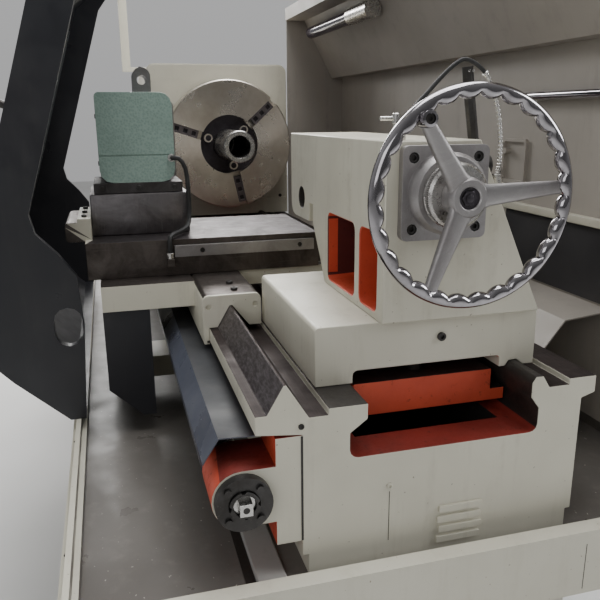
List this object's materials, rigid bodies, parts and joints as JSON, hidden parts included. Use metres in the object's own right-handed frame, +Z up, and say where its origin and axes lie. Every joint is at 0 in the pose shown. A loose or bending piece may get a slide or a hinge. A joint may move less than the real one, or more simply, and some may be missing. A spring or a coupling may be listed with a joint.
{
  "type": "turning lathe",
  "caption": "Flat-bed turning lathe with chuck, cross slide and square tool turret, tailstock with handwheel, chip pan, rear guard with hood and a sliding front door.",
  "frame": {"origin": "on the floor under the middle of the whole machine's box", "axes": "+X from the headstock to the tailstock, parallel to the spindle; +Y from the operator to the rear; +Z up"},
  "size_m": [2.987, 1.7214, 1.85],
  "materials": {
    "cream_paint": "semi-gloss cream enamel, oily and scuffed",
    "orange_primer": "orange-red primer on cast faces",
    "grey_sheet": "grey painted sheet, coolant-stained",
    "dark_sheet": "dark grey painted sheet",
    "green_hammertone": "green enamel",
    "ground_steel": "ground, oiled",
    "dark_steel": "blackened",
    "chrome": "polished",
    "black_rubber": "matt",
    "window_pane": "clear pane",
    "stop_red": "gloss",
    "motor_black": "satin black",
    "cast_ways": "cream enamel on cast iron"
  },
  "bodies": {
    "machine": {"bed": "cast_ways", "headstock": "cast_ways", "headstock_guard": "cream_paint", "belt_cover": "cream_paint", "front_bearing": "ground_steel", "rear_bearing": "ground_steel", "drive_belt": "black_rubber", "main_motor": "motor_black", "chip_pan": "grey_sheet", "tail_pedestal": "cast_ways", "head_pedestal": "cast_ways", "rear_guard": "grey_sheet", "hood_lamp": "window_pane", "wall_pipe": "chrome", "canopy_frame": "cream_paint", "control_panel": "grey_sheet", "electrical_cabinet": "cream_paint", "coolant_tank": "cream_paint", "screw_bracket": "orange_primer", "screw_bearing_cap": "dark_steel", "motor_bracket": "cast_ways", "z_servo_motor": "motor_black", "screw_cover": "dark_sheet"},
    "spindle": {"spindle": "ground_steel", "spindle_pulley": "dark_steel", "chuck_body": "ground_steel", "chuck_sleeve": "ground_steel"},
    "jaw_1": {"base_jaw_1": "dark_steel"},
    "jaw_2": {"base_jaw_2": "dark_steel"},
    "jaw_3": {"base_jaw_3": "dark_steel"},
    "motor_rotor": {"motor_pulley": "dark_steel"},
    "z_screw": {"z_ball_screw": "ground_steel"},
    "carriage": {"saddle": "cast_ways", "way_wiper": "cream_paint", "apron": "cast_ways", "apron_cover": "dark_sheet", "x_servo_motor": "motor_black"},
    "x_screw": {"x_ball_screw": "ground_steel"},
    "cross_slide": {"cross_slide": "ground_steel", "slide_gib": "ground_steel", "turret_riser": "ground_steel", "turret_base": "dark_steel", "turret_housing": "green_hammertone", "coolant_hose": "black_rubber"},
    "turret_head": {"turret_head": "ground_steel", "boring_bar_holder": "ground_steel"},
    "tailstock": {"tailstock_base": "cast_ways", "tailstock_body": "cast_ways", "tailstock_cap": "ground_steel", "clamp_plate": "orange_primer", "tailstock_conduit": "dark_steel"},
    "quill": {"quill": "ground_steel", "tailstock_centre": "ground_steel"},
    "handwheel": {"handwheel": "chrome", "graduated_collar": "ground_steel", "tailstock_screw": "dark_steel"},
    "clamp_lever": {"clamp_lever": "dark_steel"},
    "door": {"sliding_door": "dark_sheet", "door_window": "window_pane"},
    "stop_button": {"stop_button": "stop_red"}
  },
  "joints": [
    {"name": "spindle_turn", "type": "hinge", "parent": "machine", "child": "spindle", "pos_m": [-0.7025, -0.02965, 1.13], "axis": [1, 0, 0], "continuous": true},
    {"name": "jaw_1_slide", "type": "slide", "parent": "spindle", "child": "jaw_1", "axis": [0, -0.9511, 0.309], "range_m": [-0.004, 0.004]},
    {"name": "jaw_2_slide", "type": "slide", "parent": "spindle", "child": "jaw_2", "axis": [0, 0.7431, 0.6691], "range_m": [-0.004, 0.004]},
    {"name": "jaw_3_slide", "type": "slide", "parent": "spindle", "child": "jaw_3", "axis": [0, 0.2079, -0.9781], "range_m": [-0.004, 0.004]},
    {"name": "motor_turn", "type": "hinge", "parent": "machine", "child": "motor_rotor", "pos_m": [-1.3385, -0.02965, 0.25], "axis": [1, 0, 0], "continuous": true},
    {"name": "z_screw_turn", "type": "hinge", "parent": "machine", "child": "z_screw", "pos_m": [1.4315, -0.37565, 0.681], "axis": [1, 0, 0], "range_deg": [-30241, 5401]},
    {"name": "carriage_slide", "type": "slide", "parent": "machine", "child": "carriage", "axis": [1, 0, 0], "range_m": [-0.84, 0.15]},
    {"name": "x_screw_turn", "type": "hinge", "parent": "carriage", "child": "x_screw", "pos_m": [0.5835, -0.53965, 0.9], "axis": [0, 1, 0], "range_deg": [-721, 18721]},
    {"name": "cross_slide_slide", "type": "slide", "parent": "carriage", "child": "cross_slide", "axis": [0, 1, 0], "range_m": [-0.01, 0.26]},
    {"name": "turret_index", "type": "hinge", "parent": "cross_slide", "child": "turret_head", "pos_m": [0.4365, -0.45365, 1.187], "axis": [1, 0, 0], "continuous": true},
    {"name": "tailstock_slide", "type": "slide", "parent": "machine", "child": "tailstock", "axis": [1, 0, 0], "range_m": [-0.15, 0.07]},
    {"name": "handwheel_turn", "type": "hinge", "parent": "tailstock", "child": "handwheel", "pos_m": [1.4315, -0.02965, 1.13], "axis": [1, 0, 0], "range_deg": [-8640, 1080]},
    {"name": "quill_slide", "type": "slide", "parent": "tailstock", "child": "quill", "axis": [1, 0, 0], "range_m": [-0.1201, 0.0151]},
    {"name": "clamp_lever_hinge", "type": "hinge", "parent": "tailstock", "child": "clamp_lever", "pos_m": [1.3015, 0.07485, 1.165], "axis": [0, 1, 0], "range_deg": [-40, 5]},
    {"name": "door_slide", "type": "slide", "parent": "machine", "child": "door", "axis": [1, 0, 0], "range_m": [-0.75, 0.6]},
    {"name": "stop_button_push", "type": "slide", "parent": "machine", "child": "stop_button", "axis": [0, 1, 0], "range_m": [0, 0.006]}
  ],
  "couplings": [
    {"joint": "jaw_2_slide", "follows": "jaw_1_slide", "ratio": 1},
    {"joint": "jaw_3_slide", "follows": "jaw_1_slide", "ratio": 1},
    {"joint": "motor_turn", "follows": "spindle_turn", "ratio": 1.8667},
    {"joint": "z_screw_turn", "follows": "carriage_slide", "rad_per_m": 628.32},
    {"joint": "x_screw_turn", "follows": "cross_slide_slide", "rad_per_m": 1256.6},
    {"joint": "quill_slide", "follows": "handwheel_turn", "m_per_rad": 0.00079577}
  ]
}
